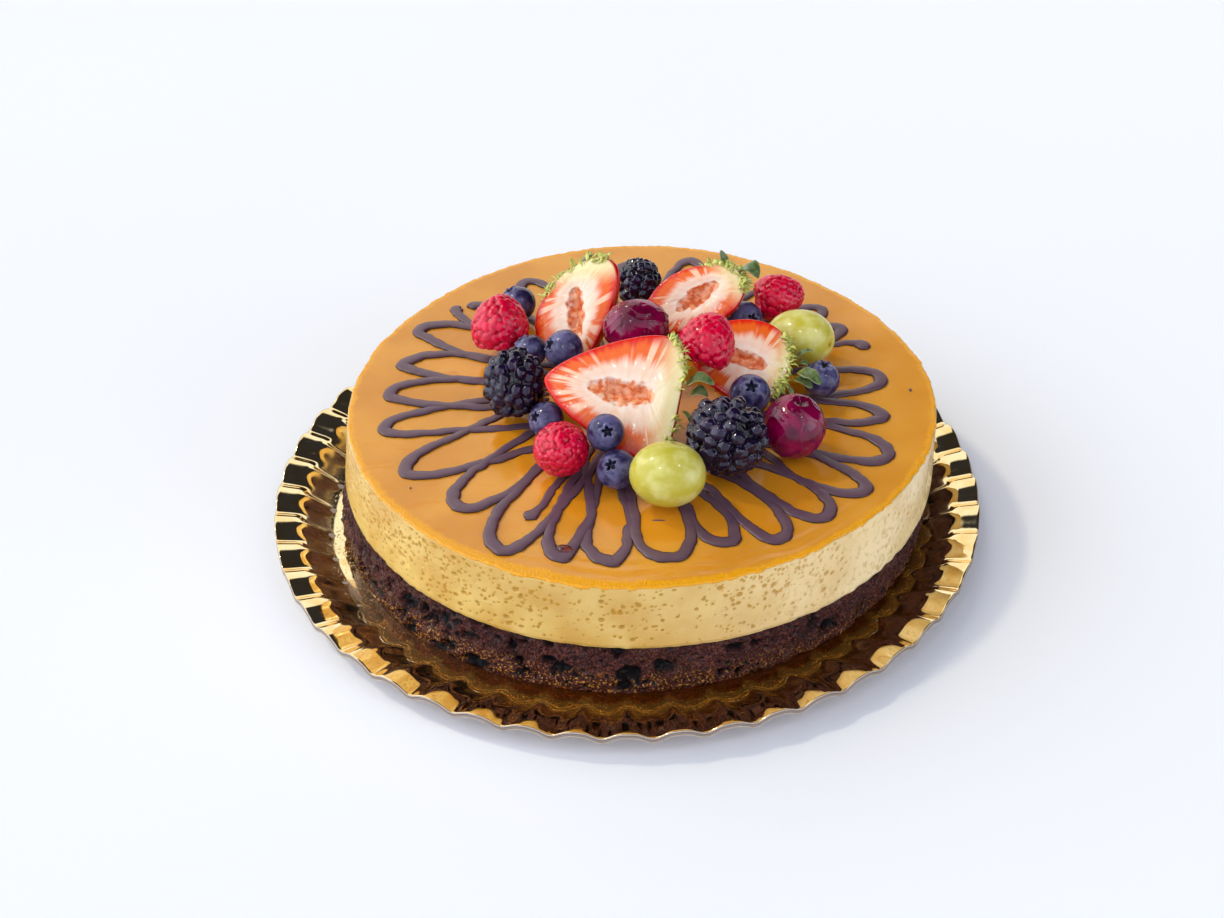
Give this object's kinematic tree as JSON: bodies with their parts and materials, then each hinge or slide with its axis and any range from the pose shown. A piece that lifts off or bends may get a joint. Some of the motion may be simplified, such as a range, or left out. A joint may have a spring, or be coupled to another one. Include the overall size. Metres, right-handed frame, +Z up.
{
  "type": "chocoflan",
  "caption": "Round chocolate cake under custard flan with a glossy caramel top, piped chocolate loops and heaped fresh fruit, in syrup on a fluted gold cake tray.",
  "frame": {"origin": "middle of the tray's underside, where the tray rests on the table", "axes": "+Z up through the tray, -Y towards the front that the large halved strawberry faces, +X to the right of someone looking from the front"},
  "size_m": [0.2816, 0.2816, 0.0941],
  "materials": {
    "gold_foil": "embossed metallic gold foil on card",
    "caramel_syrup": "wet, clear dark amber",
    "chocolate": "open dark crumb, damp",
    "custard": "smooth set custard with small pores",
    "caramel": "glossy clear amber glaze, brown drizzle",
    "strawberry": "red skin, pale cut face, clear glaze",
    "strawberry_leaf": "soft green leaf",
    "raspberry": "pink-red beads, clear glaze",
    "bramble": "near-black glossy beads",
    "blueberry": "dusty blue bloom under glaze",
    "grape": "translucent yellow-green, glossy",
    "cherry": "dark wine-red, glossy"
  },
  "bodies": {
    "root": {"tray": "gold_foil", "syrup": "caramel_syrup", "chocolate_cake": "chocolate", "flan": "custard", "caramel_top": "caramel", "strawberry_1": "strawberry", "strawberry_2": "strawberry", "strawberry_3": "strawberry", "strawberry_4": "strawberry", "crown_1": "strawberry_leaf", "crown_2": "strawberry_leaf", "crown_3": "strawberry_leaf", "crown_4": "strawberry_leaf", "raspberry_1": "raspberry", "raspberry_2": "raspberry", "raspberry_3": "raspberry", "raspberry_4": "raspberry", "bramble_1": "bramble", "bramble_2": "bramble", "bramble_3": "bramble", "blueberry_1": "blueberry", "blueberry_2": "blueberry", "blueberry_3": "blueberry", "blueberry_4": "blueberry", "blueberry_5": "blueberry", "blueberry_6": "blueberry", "blueberry_7": "blueberry", "blueberry_8": "blueberry", "blueberry_9": "blueberry", "grape_1": "grape", "grape_2": "grape", "cherry_1": "cherry", "cherry_2": "cherry"}
  },
  "joints": []
}
